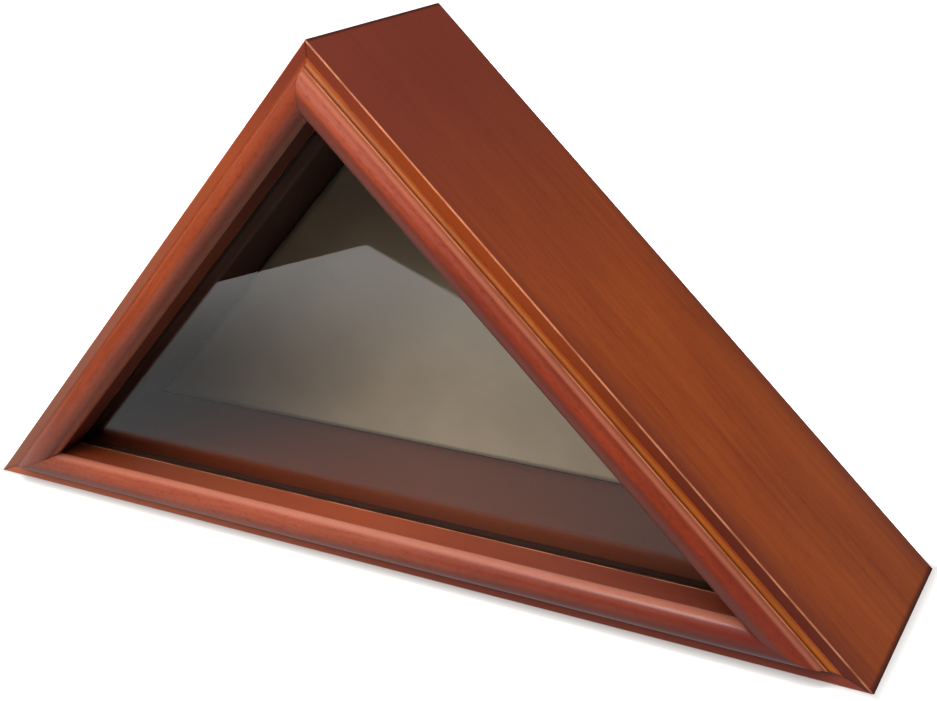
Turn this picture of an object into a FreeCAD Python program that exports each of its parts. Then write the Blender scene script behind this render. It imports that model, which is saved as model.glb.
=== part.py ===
import FreeCAD, Part
import math
import os
import Sketcher

# Triangular display case for a folded flag, in millimetres.
# X runs along the base, the glazed front faces -Y and Z is up.
# The origin is the middle of the base's underside.

# Driving sizes
SIZES = {
    # The box: outer width of the base, depth of the boards, and the boards' thickness
    "case_width": 406.0,
    "box_depth": 86.5,
    "board_thickness": 11.0,
    "arris_radius": 0.6,
    # Front moulding, measured inwards from the outer face and forwards from the boards' front edge
    "lip_width": 4.1,
    "foot_height": 0.3,
    "cove_radius": 2.1,
    "fillet_width": 0.6,
    "bead_rise": 2.5,
    "bead_radius": 5.65,
    "leg_depth": 10.6,
    # Pane and the strips behind it
    "glass_thickness": 2.0,
    "glass_gap": 0.2,
    "glass_edge_gap": 0.5,
    "stop_depth": 4.0,
    "stop_setback": 0.3,
    # Back panel in its rabbet, with its lining
    "rabbet_width": 4.0,
    "panel_thickness": 3.2,
    "panel_edge_gap": 0.4,
    "panel_recess": 0.4,
    "cloth_thickness": 0.8,
    "cloth_edge_gap": 1.0,
    # Loose tongues in the mitres
    "spline_thickness": 3.0,
    "spline_width": 7.0,
    "spline_length": 60.0,
    "spline_gap": 0.1,
    # Turn buttons and their screws
    "pivot_inset": 4.1,
    "button_width": 5.4,
    "button_arm": 18.0,
    "button_thickness": 1.6,
    "button_round": 0.4,
    "button_gap": 0.15,
    "button_spacing_base": 200.0,
    "button_spacing_leg": 130.0,
    "screw_radius": 1.25,
    "screw_depth": 14.0,
    "screw_gap": 0.06,
    "head_radius": 2.3,
    "head_height": 1.5,
}

# A folded flag is a right triangle with two equal legs, so the corners are half of 45 and of 90 degrees
BASE_MITRE = math.radians(22.5)
APEX_MITRE = math.radians(45.0)
# The bead curls in this far below its widest point before it meets the inner wall
BEAD_TUCK = math.radians(20.0)
# A cutting outline runs this far past what it cuts
OVERCUT = 2.0

doc = FreeCAD.newDocument("flag_case")
sheet = doc.addObject("Spreadsheet::Sheet", "sizes")
for row, (alias, number) in enumerate(SIZES.items(), start=1):
    sheet.set(f"A{row}", alias)
    sheet.set(f"B{row}", str(number))
    sheet.setAlias(f"B{row}", alias)
doc.recompute()


class Length:
    """A length with its number and the sheet formula that gives it."""

    def __init__(self, number, formula):
        self.number = number
        self.formula = formula

    def __add__(self, other):
        other = as_length(other)
        return Length(self.number + other.number, f"({self.formula} + {other.formula})")

    def __sub__(self, other):
        other = as_length(other)
        return Length(self.number - other.number, f"({self.formula} - {other.formula})")

    def __neg__(self):
        return self * -1.0

    def __mul__(self, factor):
        return Length(self.number * factor, f"({self.formula} * ({factor!r}))")

    def __truediv__(self, divisor):
        return self * (1.0 / divisor)


def as_length(value):
    if isinstance(value, Length):
        return value
    return Length(float(value), f"({float(value)!r})")


def size(alias):
    return Length(SIZES[alias], f"sizes.{alias}")


ZERO = as_length(0.0)


# Places that several pieces share
half_width = size("case_width") / 2
front_edge = -size("box_depth") / 2
back_edge = size("box_depth") / 2
land_width = size("board_thickness") - size("rabbet_width")
cove_foot = front_edge - size("foot_height")
cove_top = cove_foot - size("cove_radius")
cove_end = size("lip_width") + size("cove_radius")
bead_start = cove_end + size("fillet_width")
bead_middle = bead_start + size("bead_radius")
bead_spring = front_edge - size("bead_rise")
bead_foot = bead_spring + size("bead_radius") * math.sin(BEAD_TUCK)
inner_wall = bead_middle + size("bead_radius") * math.cos(BEAD_TUCK)
leg_back = front_edge + size("leg_depth")
glass_front = leg_back + size("glass_gap")
glass_back = glass_front + size("glass_thickness")
stop_front = glass_back + size("glass_gap")
stop_back = stop_front + size("stop_depth")
panel_back = back_edge - size("panel_recess")
shoulder = panel_back - size("panel_thickness")
cloth_front = shoulder - size("cloth_thickness")
pivot_inset = size("pivot_inset")
button_front = back_edge + size("button_gap")
button_back = button_front + size("button_thickness")
head_front = button_back + size("button_gap")


class Side:
    """One side of the triangle, from its start corner, counter-clockwise as seen from the front."""

    def __init__(self, name, turn, start, length, start_mitre, end_mitre, button_spacing):
        self.name = name
        self.turn = turn
        self.start = start
        self.length = length
        self.start_mitre = start_mitre
        self.end_mitre = end_mitre
        self.button_spacing = button_spacing

    def button_places(self):
        middle = self.length / 2
        return [middle - self.button_spacing / 2, middle + self.button_spacing / 2]

    def place(self, along, inward):
        turn = math.radians(self.turn)
        x = self.start[0] + along * math.cos(turn) - inward * math.sin(turn)
        z = self.start[1] + along * math.sin(turn) + inward * math.cos(turn)
        return x, z


LEG_LENGTH = size("case_width") * math.sqrt(0.5)
SIDES = [
    Side("bottom", 0.0, (-half_width, ZERO), size("case_width"),
         BASE_MITRE, BASE_MITRE, size("button_spacing_base")),
    Side("right", 135.0, (half_width, ZERO), LEG_LENGTH,
         BASE_MITRE, APEX_MITRE, size("button_spacing_leg")),
    Side("left", 225.0, (ZERO, half_width), LEG_LENGTH,
         APEX_MITRE, BASE_MITRE, size("button_spacing_leg")),
]


# Tools for bodies and sketches
def new_body(label):
    body = doc.addObject("PartDesign::Body", label)
    body.Label = label
    return body


def set_place(body, turn, x, z, y=ZERO):
    """Turn a body about Y, counter-clockwise as seen from the front, and move it to its place."""
    body.Placement.Rotation = FreeCAD.Rotation(FreeCAD.Vector(0, -1, 0), turn)
    for axis, value in zip("xyz", (x, y, z)):
        body.setExpression(f"Placement.Base.{axis}", value.formula)


def new_sketch(body, name, role, offset=ZERO):
    plane = [feature for feature in body.Origin.OriginFeatures if feature.Role == role][0]
    sketch = body.newObject("Sketcher::SketchObject", name)
    sketch.AttachmentSupport = [(plane, "")]
    sketch.MapMode = "FlatFace"
    sketch.setExpression("AttachmentOffset.Base.z", offset.formula)
    return sketch


def elevation_sketch(body, name, depth=ZERO):
    """A sketch that faces the front, at a depth along Y. Its own normal points along -Y."""
    return new_sketch(body, name, "XZ_Plane", -depth)


def fix_point(sketch, geometry, end, point):
    for kind, value in zip(("DistanceX", "DistanceY"), point):
        index = sketch.addConstraint(Sketcher.Constraint(kind, -1, 1, geometry, end, value.number))
        sketch.setExpression(f"Constraints[{index}]", value.formula)


def vector(point):
    return FreeCAD.Vector(point[0].number, point[1].number, 0)


HOLLOW = "hollow"


def draw_outline(sketch, corners):
    """Closed outline. A corner is (x, y), or (x, y, centre) where an arc about centre leads to it.

    Arcs run counter-clockwise, and a hollow one, (x, y, centre, HOLLOW), runs clockwise.
    """
    corners = [(as_length(c[0]), as_length(c[1])) + tuple(c[2:]) for c in corners]
    runs = []
    for start, end in zip(corners[-1:] + corners[:-1], corners):
        first, last = 1, 2
        if len(end) == 2:
            shape = Part.LineSegment(vector(start), vector(end))
        else:
            if end[3:] == (HOLLOW,):
                first, last = last, first
            centre = vector(end[2])
            spoke = vector(start) - centre
            sweep = [math.atan2(*reversed((vector(p) - centre)[:2])) for p in (start, end)]
            circle = Part.Circle(centre, FreeCAD.Vector(0, 0, 1), spoke.Length)
            shape = Part.ArcOfCircle(circle, sweep[first - 1], sweep[last - 1])
        runs.append((sketch.addGeometry(shape, False), first, last))
    for (geometry, _, last), (following, first, _) in zip(runs, runs[1:] + runs[:1]):
        sketch.addConstraint(Sketcher.Constraint("Coincident", geometry, last, following, first))
    for (geometry, _, last), corner in zip(runs, corners):
        fix_point(sketch, geometry, last, corner[:2])
        if len(corner) > 2:
            x_centre = corner[2][0]
            index = sketch.addConstraint(
                Sketcher.Constraint("DistanceX", -1, 1, geometry, 3, x_centre.number))
            sketch.setExpression(f"Constraints[{index}]", x_centre.formula)


def draw_circle(sketch, centre, radius):
    circle = Part.Circle(vector(centre), FreeCAD.Vector(0, 0, 1), radius.number)
    geometry = sketch.addGeometry(circle, False)
    fix_point(sketch, geometry, 3, centre)
    index = sketch.addConstraint(Sketcher.Constraint("Radius", geometry, radius.number))
    sketch.setExpression(f"Constraints[{index}]", radius.formula)


def pad(body, sketch, length, reverse=False):
    feature = body.newObject("PartDesign::Pad", f"{sketch.Name}_pad")
    feature.Profile = sketch
    feature.setExpression("Length", length.formula)
    feature.Reversed = reverse
    sketch.Visibility = False
    doc.recompute()
    return feature


def pocket(body, sketch, length=None, symmetric=False, reverse=False):
    """Cut a sketch out of its body, right through where no length is given, and see that it cuts."""
    before = body.Shape.Volume
    feature = body.newObject("PartDesign::Pocket", f"{sketch.Name}_pocket")
    feature.Profile = sketch
    if length is None:
        feature.Type = "ThroughAll"
    else:
        feature.setExpression("Length", length.formula)
    if symmetric:
        feature.SideType = "Symmetric"
    feature.Reversed = reverse
    doc.recompute()
    if body.Shape.Volume >= before:
        raise RuntimeError(f"{feature.Name} cuts nothing")
    return feature


# Boards, mouldings and stops are milled to a section and then mitred
def cut_mitres(body, side, reach):
    sketch = elevation_sketch(body, f"{body.Name}_mitres")
    reach = reach + OVERCUT
    for mitre, sign, foot in ((side.start_mitre, 1.0, ZERO), (side.end_mitre, -1.0, side.length)):
        tip = (foot + reach * (sign / math.tan(mitre)), reach)
        outside = foot - as_length(OVERCUT * sign)
        corners = [(outside, as_length(-OVERCUT * math.tan(mitre))), tip, (outside, reach)]
        draw_outline(sketch, corners)
    pocket(body, sketch, symmetric=True)


def milled_strip(label, side, section, reach):
    body = new_body(label)
    sketch = new_sketch(body, f"{label}_section", "YZ_Plane")
    draw_outline(sketch, section)
    pad(body, sketch, side.length)
    cut_mitres(body, side, reach)
    set_place(body, side.turn, *side.start)
    return body


def board_section():
    """Rounded outer arrises, and a rabbet for the back panel on the inner back edge."""
    soft = size("arris_radius")
    thick = size("board_thickness")
    front_round = (front_edge + soft, soft)
    back_round = (back_edge - soft, soft)
    return [
        (front_edge + soft, ZERO, front_round),
        (back_edge - soft, ZERO),
        (back_edge, soft, back_round),
        (back_edge, land_width),
        (shoulder, land_width),
        (shoulder, thick),
        (front_edge, thick),
        (front_edge, soft),
    ]


def moulding_section():
    """A cove and a fillet lead up to a round bead, and a leg reaches back inside the boards."""
    bead_centre = (bead_spring, bead_middle)
    cove_centre = (cove_top, size("lip_width"))
    thick = size("board_thickness")
    return [
        (front_edge, size("lip_width")),
        (front_edge, thick),
        (leg_back, thick),
        (leg_back, inner_wall),
        (bead_foot, inner_wall),
        (bead_spring, bead_start, bead_centre),
        (cove_top, bead_start),
        (cove_top, cove_end),
        (cove_foot, size("lip_width"), cove_centre, HOLLOW),
    ]


def stop_section():
    inner = inner_wall - size("stop_setback")
    thick = size("board_thickness")
    return [(stop_front, thick), (stop_back, thick), (stop_back, inner), (stop_front, inner)]


# Corner joints
def spline_groove(sketch, mitre, sign, foot):
    """Half of a tongue's groove, square to the mitre, at the middle of the board's thickness."""
    along = (math.cos(mitre), math.sin(mitre))
    into = (math.sin(mitre), -math.cos(mitre))
    middle = size("board_thickness") / (2 * math.sin(mitre))
    half_thick = size("spline_thickness") / 2 + size("spline_gap")
    half_wide = size("spline_width") / 2 + size("spline_gap")
    outline = []
    for step, depth in ((-1, -1), (-1, 1), (1, 1), (1, -1)):
        run = middle + half_thick * step
        reach = half_wide if depth > 0 else as_length(-OVERCUT)
        x = run * along[0] + reach * into[0]
        y = run * along[1] + reach * into[1]
        outline.append((foot + x * sign, y))
    draw_outline(sketch, outline)


def make_board(side):
    body = milled_strip(f"{side.name}_board", side, board_section(), size("board_thickness"))
    grooves = elevation_sketch(body, f"{side.name}_grooves")
    spline_groove(grooves, side.start_mitre, 1.0, ZERO)
    spline_groove(grooves, side.end_mitre, -1.0, side.length)
    pocket(body, grooves, size("spline_length") + size("spline_gap") * 2, symmetric=True)
    pilots = elevation_sketch(body, f"{side.name}_pilots", back_edge)
    for along in side.button_places():
        draw_circle(pilots, (along, pivot_inset), size("screw_radius") + size("screw_gap"))
    pocket(body, pilots, size("screw_depth") + size("screw_gap"), reverse=True)


def make_spline(side, label):
    """The loose tongue in the mitre at a side's end corner."""
    body = new_body(label)
    sketch = elevation_sketch(body, f"{label}_section", -size("spline_length") / 2)
    half_thick = size("spline_thickness") / 2
    half_wide = size("spline_width") / 2
    draw_outline(sketch, [(-half_thick, -half_wide), (half_thick, -half_wide),
                          (half_thick, half_wide), (-half_thick, half_wide)])
    pad(body, sketch, size("spline_length"), reverse=True)
    inward = size("board_thickness") / 2
    along = side.length - inward / math.tan(side.end_mitre)
    turn = side.turn + 180.0 - math.degrees(side.end_mitre)
    set_place(body, turn, *side.place(along, inward))


# Flat triangular pieces
def triangle(inset):
    """Corners of the case's outline, moved in by an inset on all three sides."""
    half_base = half_width - inset / math.tan(BASE_MITRE)
    top = half_width - inset / math.sin(APEX_MITRE)
    return [(-half_base, inset), (half_base, inset), (ZERO, top)]


def make_plate(label, inset, front, thickness):
    body = new_body(label)
    sketch = elevation_sketch(body, f"{label}_outline", front)
    draw_outline(sketch, triangle(inset))
    pad(body, sketch, thickness, reverse=True)


# Turn buttons and their screws
def make_button(side, number, along):
    label = f"turn_button_{side.name}_{number}"
    body = new_body(label)
    sketch = elevation_sketch(body, f"{label}_outline")
    round_end = size("button_width") / 2
    arm = size("button_arm")
    draw_outline(sketch, [
        (arm, -round_end),
        (arm, round_end, (arm, ZERO)),
        (ZERO, round_end),
        (ZERO, -round_end, (ZERO, ZERO)),
    ])
    draw_circle(sketch, (ZERO, ZERO), size("screw_radius") + size("screw_gap"))
    blank = pad(body, sketch, size("button_thickness"), reverse=True)
    outer = max(range(len(blank.Shape.Faces)), key=lambda n: blank.Shape.Faces[n].CenterOfMass.y)
    rounded = body.newObject("PartDesign::Fillet", f"{label}_round")
    rounded.Base = (blank, [f"Face{outer + 1}"])
    rounded.setExpression("Radius", size("button_round").formula)
    doc.recompute()
    x, z = side.place(along, pivot_inset)
    set_place(body, side.turn, x, z, button_front)


def make_screw(side, number, along):
    """A shank in the board and a low domed head behind the button, turned about Y."""
    body = new_body(f"screw_{side.name}_{number}")
    sketch = new_sketch(body, f"{body.Name}_section", "XY_Plane")
    shank = size("screw_radius")
    head = size("head_radius")
    tip = back_edge - size("screw_depth")
    head_back = head_front + size("head_height")
    rise = SIZES["head_height"]
    dome = as_length((SIZES["head_radius"] ** 2 + rise ** 2) / (2 * rise))
    draw_outline(sketch, [
        (ZERO, tip),
        (shank, tip),
        (shank, head_front),
        (head, head_front),
        (ZERO, head_back, (ZERO, head_back - dome)),
    ])
    feature = body.newObject("PartDesign::Revolution", f"{body.Name}_turned")
    feature.Profile = sketch
    feature.ReferenceAxis = (sketch, ["V_Axis"])
    feature.Angle = 360.0
    doc.recompute()
    x, z = side.place(along, pivot_inset)
    set_place(body, 0.0, x, z)
    return body


def make_case():
    screws = []
    for side in SIDES:
        make_board(side)
        milled_strip(f"{side.name}_moulding", side, moulding_section(), inner_wall)
        milled_strip(f"{side.name}_glass_stop", side, stop_section(), inner_wall)
        for number, along in enumerate(side.button_places(), start=1):
            make_button(side, number, along)
            screws.append(make_screw(side, number, along))
    for side, corner in zip(SIDES, ("right", "apex", "left")):
        make_spline(side, f"{corner}_corner_spline")
    thick = size("board_thickness")
    make_plate("glass_pane", thick + size("glass_edge_gap"), glass_front, size("glass_thickness"))
    make_plate("back_panel", land_width + size("panel_edge_gap"), shoulder, size("panel_thickness"))
    make_plate("backing_cloth", thick + size("cloth_edge_gap"), cloth_front, size("cloth_thickness"))
    group = doc.addObject("Part::Compound", "turn_button_screws")
    group.Label = "turn_button_screws"
    group.Links = screws
    doc.recompute()
    single = [item for item in doc.Objects if item.isDerivedFrom("PartDesign::Body") and item not in screws]
    return single + [group]


def check_document(pieces):
    for item in doc.Objects:
        if "Invalid" in item.State or "Error" in item.State:
            raise RuntimeError(f"{item.Name} failed: {item.State}")
    for piece in pieces:
        if piece.Shape.isNull() or not piece.Shape.isValid():
            raise RuntimeError(f"{piece.Label} has no valid shape")


pieces = make_case()
check_document(pieces)
os.makedirs("parts", exist_ok=True)
for piece in pieces:
    piece.Shape.exportStep(f"parts/{piece.Label}.step")
    box = piece.Shape.BoundBox
    print(f"{piece.Label}: {len(piece.Shape.Solids)} solids, {piece.Shape.Volume:.1f} mm3,"
          f" x {box.XMin:.2f} to {box.XMax:.2f}, y {box.YMin:.2f} to {box.YMax:.2f},"
          f" z {box.ZMin:.2f} to {box.ZMax:.2f}")
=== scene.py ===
# %% [markdown]
# # A display case for a folded flag
# The case is a right triangle of red-brown lacquered boards with a beaded moulding round its glazed
# front. Behind the pane is a lined back panel, held by six small brass turn buttons.
# The shapes of the wood, pane and metal come from the CAD model, which is loaded here as a fixed
# frame. This lesson gives each piece its finish, makes the lining and the screws, and lights the case.

# %% Load the model
import math

import bmesh
import bpy
from mathutils import Matrix, Vector, noise


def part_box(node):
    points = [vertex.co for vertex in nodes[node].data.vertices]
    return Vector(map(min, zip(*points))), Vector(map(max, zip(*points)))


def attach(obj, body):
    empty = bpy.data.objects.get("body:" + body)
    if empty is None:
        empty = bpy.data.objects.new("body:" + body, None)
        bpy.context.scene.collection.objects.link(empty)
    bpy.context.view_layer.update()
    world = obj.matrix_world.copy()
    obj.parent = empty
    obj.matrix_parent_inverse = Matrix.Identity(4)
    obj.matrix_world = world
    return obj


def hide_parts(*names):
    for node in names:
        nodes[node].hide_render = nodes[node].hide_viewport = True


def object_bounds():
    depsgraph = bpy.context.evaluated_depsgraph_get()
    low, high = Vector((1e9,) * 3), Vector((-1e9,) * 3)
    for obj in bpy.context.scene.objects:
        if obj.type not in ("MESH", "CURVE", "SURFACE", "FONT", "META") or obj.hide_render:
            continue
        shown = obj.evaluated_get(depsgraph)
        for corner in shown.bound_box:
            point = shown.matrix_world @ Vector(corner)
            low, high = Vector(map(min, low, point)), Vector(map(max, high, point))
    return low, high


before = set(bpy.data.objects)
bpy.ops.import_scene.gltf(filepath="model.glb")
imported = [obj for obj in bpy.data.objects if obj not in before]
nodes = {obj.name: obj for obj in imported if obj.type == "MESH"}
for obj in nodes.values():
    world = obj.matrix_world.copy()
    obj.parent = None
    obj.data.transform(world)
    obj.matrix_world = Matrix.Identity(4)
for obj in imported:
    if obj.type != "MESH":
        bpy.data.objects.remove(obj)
cad_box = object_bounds()
scene = bpy.context.scene
scene.view_settings.view_transform = "Standard"
MM = 0.001


def add_object(name, data):
    made = bpy.data.objects.new(name, data)
    scene.collection.objects.link(made)
    return made


print("pieces in the model:", len(nodes), "box:", [list(corner) for corner in cad_box])

# %% [markdown]
# ## The camera
# The photograph looks down on the case from the right front corner. Its place was worked out from the
# outer corners of the case, so it is written as three directions of the picture and one point.
# A camera looks along its own -Z with +Y up, so its matrix is built from those directions. The shift
# moves the frame, as the photograph was cropped closely round the case.

# %% Camera
picture_right = Vector((0.87623, 0.47946, -0.04833))
picture_down = Vector((0.16047, -0.38488, -0.90891))
picture_depth = Vector((-0.45439, 0.78866, -0.41418))
camera_place = Vector((0.27817, -0.40496, 0.27019))

camera_data = bpy.data.cameras.new("camera")
camera_data.sensor_fit = "HORIZONTAL"
camera_data.sensor_width = 36.0
camera_data.lens = 50.60
camera_data.shift_x = -0.0395
camera_data.shift_y = 0.0607
camera_data.clip_start = 0.01
camera = add_object("camera", camera_data)
turn = Matrix((picture_right, -picture_down, -picture_depth)).transposed()
camera.matrix_world = Matrix.Translation(camera_place) @ turn.to_4x4()
scene.camera = camera
print("camera at", [round(c, 3) for c in camera.matrix_world.translation])

# %% [markdown]
# ## Small tools for node trees
# Every finish below is a node tree, and most of them repeat the same few moves: add a node, feed it,
# mix two colours, fade a mask in over a distance. A few short helpers keep those trees readable.
# A value that is itself a socket is linked, and anything else is typed into the socket.

# %% Node helpers
FLOAT, VECTOR, COLOUR = "NodeSocketFloat", "NodeSocketVector", "NodeSocketColor"


def feed(tree, socket, value):
    if isinstance(value, bpy.types.NodeSocket):
        tree.links.new(value, socket)
    else:
        socket.default_value = value


def add_node(tree, kind, inputs=None, **settings):
    made = tree.nodes.new(kind)
    for name, value in settings.items():
        setattr(made, name, value)
    for name, value in (inputs or {}).items():
        feed(tree, made.inputs[name], value)
    return made


def calculate(tree, operation, *values):
    made = add_node(tree, "ShaderNodeMath", operation=operation)
    for socket, value in zip(made.inputs, values):
        feed(tree, socket, value)
    return made.outputs[0]


def mix_values(tree, factor, first, second):
    """A Mix node keeps its two numbers in sockets 2 and 3."""
    return add_node(tree, "ShaderNodeMix", {0: factor, 2: first, 3: second}).outputs[0]


def mix_colours(tree, factor, first, second):
    """A Mix node keeps its two colours in sockets 6 and 7, and gives the mixed one at output 2."""
    made = add_node(tree, "ShaderNodeMix", {0: factor, 6: first, 7: second}, data_type="RGBA")
    return made.outputs[2]


def fade(tree, value, start, end, low=0.0, high=1.0):
    """Smoothly from low, where the value is at the start, to high at the end."""
    made = add_node(tree, "ShaderNodeMapRange", {
        "Value": value, "From Min": start, "From Max": end, "To Min": low, "To Max": high,
    }, interpolation_type="SMOOTHSTEP")
    return made.outputs["Result"]


def object_place(tree):
    return add_node(tree, "ShaderNodeTexCoord").outputs["Object"]


def split_axes(tree, vector):
    return add_node(tree, "ShaderNodeSeparateXYZ", {0: vector}).outputs


def length_of(tree, vector):
    return add_node(tree, "ShaderNodeVectorMath", {0: vector}, operation="LENGTH").outputs["Value"]


def stretched_noise(tree, place, counts, detail=2.0, distortion=0.0):
    """Noise with its own number of waves per metre along each axis."""
    scaled = add_node(tree, "ShaderNodeVectorMath", {0: place, 1: counts}, operation="MULTIPLY")
    made = add_node(tree, "ShaderNodeTexNoise", {
        "Vector": scaled.outputs[0], "Scale": 1.0, "Detail": detail, "Distortion": distortion,
    })
    return made.outputs["Fac"]


def tint(red, green, blue):
    """A colour as on a paint card, 0 to 255, in Blender's linear numbers."""
    return tuple(((c / 255 + 0.055) / 1.055) ** 2.4 for c in (red, green, blue)) + (1.0,)


def new_group(name, inputs, outputs):
    group = bpy.data.node_groups.new(name, "ShaderNodeTree")
    for label, kind in inputs.items():
        group.interface.new_socket(label, in_out="INPUT", socket_type=kind)
    for label, kind in outputs.items():
        group.interface.new_socket(label, in_out="OUTPUT", socket_type=kind)
    entry = group.nodes.new("NodeGroupInput")
    leave = group.nodes.new("NodeGroupOutput")
    return group, entry.outputs, leave.inputs


def place_group(tree, group, inputs):
    made = tree.nodes.new("ShaderNodeGroup")
    made.node_tree = group
    for name, value in inputs.items():
        feed(tree, made.inputs[name], value)
    return made.outputs


def new_material(name, **numbers):
    """A material with its Principled shader, whose plain numbers are typed into its own sockets."""
    material = bpy.data.materials.new(name)
    material.use_nodes = True
    tree = material.node_tree
    shader = tree.nodes["Principled BSDF"]
    for label, value in numbers.items():
        shader.inputs[label.replace("_", " ")].default_value = value
    return material, tree, shader


def bump(tree, shader, height, distance, strength=1.0):
    made = add_node(tree, "ShaderNodeBump",
                    {"Height": height, "Distance": distance, "Strength": strength})
    tree.links.new(made.outputs["Normal"], shader.inputs["Normal"])


def blend_surfaces(tree, factor, first, second):
    """Send a mix of two shaders to the material's surface."""
    made = add_node(tree, "ShaderNodeMixShader", {0: factor, 1: first, 2: second})
    feed(tree, tree.nodes["Material Output"].inputs["Surface"], made.outputs[0])


def finish_with(material, *labels):
    for label in labels:
        for slot in nodes[label].material_slots:
            slot.material = material
    print(material.name, "on", ", ".join(labels))


# %% [markdown]
# ## The stage
# The photograph has a white table and nothing else, with only a thin soft shadow under the case.
# A plain white plane lit by the lamps gives that shadow. Its paint is darker close to the case as well,
# a painted contact shadow where a real table gets hardly any light. A little light that only the camera,
# the pane and the lacquer see lifts the rest of it to white, so no more light falls on the case. To
# bounced light the floor is grey, because in the photograph little light comes up from the table. To
# mirror rays the floor glows dimmer near the case than further off, a painted shade for the case's
# shadow on the table, which the pane mirrors.
# The pane also mirrors a corner of the table, with the dim room beyond it. The room is a dark sheet
# over the floor there. The camera does not see it, and it sends little light up into the case.
# The world is white to the camera and dim to mirror rays, as the photograph's lacquer mirrors no white.

# %% Floor and background
WHITE, ROOM_DARK = (1.0, 1.0, 1.0, 1.0), (0.004, 0.004, 0.004, 1.0)
PAPER, DUSK, BOUNCE = (0.86, 0.86, 0.86, 1.0), (0.35, 0.34, 0.34, 1.0), (0.30, 0.30, 0.30, 1.0)
FOOT_HALF_DEPTH = 43.0 * MM
DUSK_START, DUSK_END = -2 * MM, 9 * MM
LIFT_REACH, LIFT_NEAR, LIFT_OPEN, LIFT_FAR = 16 * MM, 0.22, 0.70, 0.4
MIRRORED_NEAR, MIRRORED_FAR = 0.45, 1.6
FLOOR_REACH, EDGE_REACH, ROOM_HEIGHT = 4.0, 2.5, 0.4 * MM
ROOM_LIGHT, ROOM_MIRRORED = 0.04, 0.05


def flat_piece(name, corners, height, material):
    mesh = bpy.data.meshes.new(name)
    mesh.from_pydata([(x, y, height) for x, y in corners], [], [list(range(len(corners)))])
    mesh.materials.append(material)
    piece = add_object(name, mesh)
    return piece


def straight_through(tree, rays):
    """1 for a ray that came through the pane without being mirrored by it."""
    unmirrored = calculate(tree, "LESS_THAN", rays["Glossy Depth"], 0.5)
    return calculate(tree, "MULTIPLY", rays["Is Transmission Ray"], unmirrored)


floor_paint, tree, shader = new_material("table_white", Roughness=1.0, Specular_IOR_Level=0.0)
rays = tree.nodes.new("ShaderNodeLightPath").outputs
through = straight_through(tree, rays)
direct = calculate(tree, "MAXIMUM", rays["Is Camera Ray"], through)
by_glass = calculate(tree, "MAXIMUM", rays["Is Glossy Ray"], rays["Is Transmission Ray"])
by_glass = calculate(tree, "SUBTRACT", by_glass, through)
where = object_place(tree)
flat_x, flat_y = (calculate(tree, "ABSOLUTE", axis) for axis in split_axes(tree, where)[:2])
past_end = calculate(tree, "SUBTRACT", flat_x, cad_box[1][0])
past_face = calculate(tree, "SUBTRACT", flat_y, FOOT_HALF_DEPTH)
beside = calculate(tree, "MAXIMUM", past_end, past_face)
# painted contact shadow: the floor's paint turns to DUSK close to the case
paper = mix_colours(tree, fade(tree, beside, DUSK_START, DUSK_END), DUSK, PAPER)
feed(tree, shader.inputs["Base Color"], mix_colours(tree, rays["Is Diffuse Ray"], paper, BOUNCE))
near_lift = fade(tree, beside, 0.0, LIFT_REACH, LIFT_NEAR, LIFT_OPEN)
far_lift = fade(tree, length_of(tree, where), 0.4, 0.9, 0.0, LIFT_FAR)
lift = calculate(tree, "ADD", near_lift, far_lift)
shader.inputs["Emission Color"].default_value = WHITE
feed(tree, shader.inputs["Emission Strength"], calculate(tree, "MULTIPLY", direct, lift))
# painted shade in reflections: to mirror rays the floor glows dimmer near the case, standing in for its
# shadow on the table
shaded = fade(tree, flat_y, 0.15, 0.36, MIRRORED_NEAR, MIRRORED_FAR)
mirrored = add_node(tree, "ShaderNodeEmission", {"Strength": shaded})
blend_surfaces(tree, by_glass, shader.outputs["BSDF"], mirrored.outputs[0])
flat_piece("table", [(-FLOOR_REACH, -FLOOR_REACH), (FLOOR_REACH, -FLOOR_REACH),
                     (FLOOR_REACH, FLOOR_REACH), (-FLOOR_REACH, FLOOR_REACH)], 0.0, floor_paint)

room_paint, tree, shader = new_material("dim_room", Roughness=1.0, Specular_IOR_Level=0.0)
shader.inputs["Base Color"].default_value = ROOM_DARK
rays = tree.nodes.new("ShaderNodeLightPath").outputs
clear = add_node(tree, "ShaderNodeBsdfTransparent")
blend_surfaces(tree, straight_through(tree, rays), shader.outputs["BSDF"], clear.outputs[0])
table_corner = Vector((-0.237, -0.373))
left_edge = Vector((-0.424, 0.906))
front_edge = Vector((0.855, 0.518))
room_outline = [table_corner, table_corner + left_edge * EDGE_REACH, (-FLOOR_REACH, FLOOR_REACH),
                (-FLOOR_REACH, -FLOOR_REACH), (FLOOR_REACH, -FLOOR_REACH),
                table_corner + front_edge * EDGE_REACH]
room = flat_piece("dim_room", room_outline, ROOM_HEIGHT, room_paint)
for ray in ("camera", "volume_scatter", "shadow"):
    setattr(room, f"visible_{ray}", False)

world = bpy.data.worlds.new("studio")
scene.world = world
world.use_nodes = True
tree = world.node_tree
backdrop = tree.nodes["Background"]
rays = tree.nodes.new("ShaderNodeLightPath").outputs
seen = calculate(tree, "MAXIMUM", rays["Is Camera Ray"], rays["Is Transmission Ray"])
level = mix_values(tree, rays["Is Glossy Ray"], ROOM_LIGHT, ROOM_MIRRORED)
feed(tree, backdrop.inputs["Strength"], mix_values(tree, seen, level, 1.0))
backdrop.inputs["Color"].default_value = WHITE
print("floor and background in place")

# %% [markdown]
# ## The lamps
# Four soft boxes do it. A steep one above the front lights the right board and the top of the bottom
# bead. A wide one at the left front looks into the case, so the boards shade the lining at its top and
# left, and a weaker one at the right fills the other side of the beads. Those two stand for the open
# room, which the satin lacquer doesn't mirror. The last lights the back, which this camera can't see.

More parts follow.
